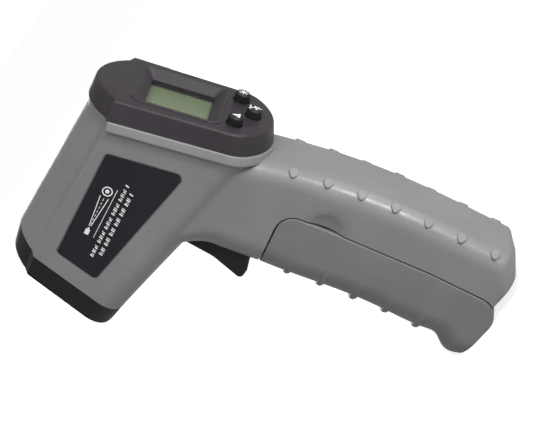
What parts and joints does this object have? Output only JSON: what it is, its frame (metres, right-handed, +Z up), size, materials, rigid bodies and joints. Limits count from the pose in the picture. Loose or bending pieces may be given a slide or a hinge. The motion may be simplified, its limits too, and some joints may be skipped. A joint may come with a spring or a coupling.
{
  "type": "infrared thermometer",
  "caption": "Gun-type infrared thermometer with a tilted display and keys, side labels, nose sensor aperture, finger trigger and hinged battery door in the handle.",
  "frame": {"origin": "middle of the foot plane under the handle, under the centre of the object's box", "axes": "+X forwards along the sensor's line of sight, +Y to the user's left, +Z up from the handle's foot to the head"},
  "size_m": [0.1019, 0.043, 0.1477],
  "materials": {
    "housing": "moulded satin",
    "door": "moulded satin",
    "black_plastic": "moulded satin",
    "bezel_plastic": "moulded satin",
    "clear_window": "polished",
    "label": "printed film",
    "key_rubber": "moulded",
    "switch_plastic": "moulded",
    "lcd_glass": "polarised",
    "backlight": "diffusing",
    "white_plastic": "moulded",
    "zebra_rubber": "striped",
    "circuit_board": "solder mask",
    "chip_plastic": "moulded",
    "steel": "plated",
    "sensor_aluminium": "turned",
    "sensor_steel": "plated can",
    "infrared_lens": "milky lens",
    "brass": "turned",
    "battery_case": "printed jacket",
    "snap_plastic": "moulded",
    "lead_red": "insulated wire",
    "lead_black": "insulated wire",
    "trigger_plastic": "moulded satin",
    "spring_steel": "wire"
  },
  "bodies": {
    "housing": {"left_housing": "housing", "right_housing": "housing", "nose_cap": "black_plastic", "display_bezel": "bezel_plastic", "display_window": "clear_window", "left_label": "label", "right_label": "label", "key_switch_backlight": "switch_plastic", "key_switch_laser": "switch_plastic", "key_switch_units": "switch_plastic", "lcd_glass": "lcd_glass", "lcd_backlight": "backlight", "lcd_frame": "white_plastic", "lcd_connector_strip": "zebra_rubber", "main_board": "circuit_board", "controller_chip": "chip_plastic", "buzzer": "chip_plastic", "board_screws": "steel", "sensor_tube": "sensor_aluminium", "lens_ring": "black_plastic", "infrared_lens": "infrared_lens", "thermopile_sensor": "sensor_steel", "sensor_board": "circuit_board", "laser_module": "brass", "laser_window": "clear_window", "battery": "battery_case", "battery_snap": "snap_plastic", "battery_lead_red": "lead_red", "battery_lead_black": "lead_black", "trigger_pin": "steel", "trigger_spring": "spring_steel", "trigger_switch": "switch_plastic", "housing_screws": "steel"},
    "battery_door": {"battery_door": "door", "door_hinge_pin": "steel"},
    "trigger": {"trigger": "trigger_plastic"},
    "trigger_plunger": {"trigger_switch_plunger": "switch_plastic"},
    "backlight_key": {"button_backlight": "key_rubber", "key_plunger_backlight": "switch_plastic"},
    "laser_key": {"button_laser": "key_rubber", "key_plunger_laser": "switch_plastic"},
    "units_key": {"button_units": "key_rubber", "key_plunger_units": "switch_plastic"}
  },
  "joints": [
    {"name": "battery_door_hinge", "type": "hinge", "parent": "housing", "child": "battery_door", "pos_m": [-0.0308, 0, 0.0042], "axis": [0, 1, 0], "range_deg": [0, 60]},
    {"name": "trigger_pull", "type": "hinge", "parent": "housing", "child": "trigger", "pos_m": [0.003, 0, 0.092], "axis": [0, 1, 0], "range_deg": [0, 6], "stiffness_Nm_per_rad": 0.12, "springref_deg": -6.88, "deforming": ["trigger_spring"]},
    {"name": "trigger_plunger_slide", "type": "slide", "parent": "housing", "child": "trigger_plunger", "axis": [-1, 0, 0], "range_m": [0, 0.0013]},
    {"name": "backlight_key_press", "type": "slide", "parent": "housing", "child": "backlight_key", "axis": [0.9342, 0, -0.3567], "range_m": [0, 0.0008], "stiffness_N_per_m": 400, "springref_m": -0.0005},
    {"name": "laser_key_press", "type": "slide", "parent": "housing", "child": "laser_key", "axis": [0.9342, 0, -0.3567], "range_m": [0, 0.0008], "stiffness_N_per_m": 400, "springref_m": -0.0005},
    {"name": "units_key_press", "type": "slide", "parent": "housing", "child": "units_key", "axis": [0.9342, 0, -0.3567], "range_m": [0, 0.0008], "stiffness_N_per_m": 400, "springref_m": -0.0005}
  ],
  "couplings": [
    {"joint": "trigger_plunger_slide", "follows": "trigger_pull", "m_per_rad": 0.012}
  ]
}
